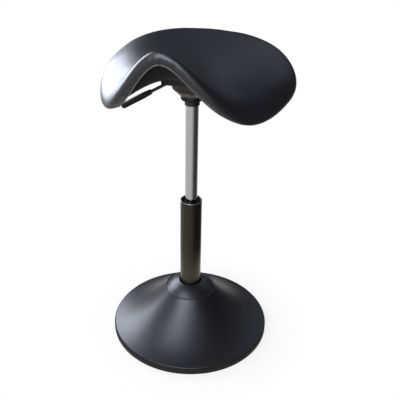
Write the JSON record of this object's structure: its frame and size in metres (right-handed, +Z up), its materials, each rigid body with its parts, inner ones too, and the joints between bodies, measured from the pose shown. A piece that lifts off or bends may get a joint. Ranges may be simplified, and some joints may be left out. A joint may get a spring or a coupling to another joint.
{
  "type": "saddle stool",
  "caption": "Padded saddle seat on a gas lift that swivels and changes height by a lever, standing in a weighted, bell-shaped round base.",
  "frame": {"origin": "on the floor, on the column's axis, at the centre of the sole's flat underside", "axes": "+Z up along the column, -Y towards the seat's raised, narrow front, -X towards the lever"},
  "size_m": [0.4232, 0.4054, 0.7713],
  "materials": {
    "black_leather": "satin, finely grained",
    "dark_lining": "matt",
    "foam": "moulded foam, hidden",
    "plywood": "stained black",
    "chrome": "polished",
    "bright_steel": "zinc plated",
    "black_steel": "semi-gloss black paint",
    "black_plastic": "moulded, satin",
    "satin_black": "satin black",
    "rubber": "matt",
    "cast_iron": "as cast"
  },
  "bodies": {
    "base": {"sole_pad": "rubber", "sole_screw_1": "bright_steel", "sole_screw_2": "bright_steel", "sole_screw_3": "bright_steel", "sole_screw_4": "bright_steel", "base_ring": "rubber", "counterweight": "cast_iron", "column_socket": "black_steel", "flange_bolt_1": "bright_steel", "flange_bolt_2": "bright_steel", "flange_bolt_3": "bright_steel", "base_cover": "satin_black", "collar_cap": "satin_black", "outer_tube": "black_steel", "guide_bush": "black_plastic", "lower_race": "bright_steel"},
    "cage": {"ball_cage": "bright_steel"},
    "rod": {"upper_race": "bright_steel", "piston_rod": "bright_steel", "piston": "bright_steel", "bump_stop": "rubber", "rod_washer": "bright_steel", "rod_clip": "bright_steel"},
    "seat": {"gas_cylinder": "chrome", "rod_guide": "black_plastic", "seat_socket": "black_steel", "socket_ring": "black_plastic", "mechanism_cup": "black_steel", "seat_plate": "black_steel", "plate_bolt_1": "bright_steel", "plate_bolt_2": "bright_steel", "plate_bolt_3": "bright_steel", "plate_bolt_4": "bright_steel", "mount_block": "plywood", "lever_bracket": "black_steel", "lever_pin": "bright_steel", "seat_shell": "plywood", "seat_lining": "dark_lining", "foam_pad": "foam", "seat_cover": "black_leather"},
    "lever": {"lever_rod": "black_steel", "lever_grip": "black_plastic"},
    "valve": {"valve_button": "bright_steel"}
  },
  "joints": [
    {"name": "seat_swivel", "type": "hinge", "parent": "base", "child": "rod", "pos_m": [0, 0, 0.0358], "axis": [0, 0, 1], "continuous": true},
    {"name": "cage_roll", "type": "hinge", "parent": "base", "child": "cage", "pos_m": [0, 0, 0.0317], "axis": [0, 0, 1], "continuous": true},
    {"name": "height_slide", "type": "slide", "parent": "rod", "child": "seat", "axis": [0, 0, 1], "range_m": [-0.21, 0]},
    {"name": "lever_lift", "type": "hinge", "parent": "seat", "child": "lever", "pos_m": [-0.03, 0, 0.6497], "axis": [0, 1, 0], "range_deg": [0, 6], "stiffness_Nm_per_rad": 2},
    {"name": "valve_press", "type": "slide", "parent": "seat", "child": "valve", "axis": [0, 0, -1], "range_m": [0, 0.0033]}
  ],
  "couplings": [
    {"joint": "cage_roll", "follows": "seat_swivel", "ratio": 0.5},
    {"joint": "valve_press", "follows": "lever_lift", "m_per_rad": 0.0315}
  ]
}
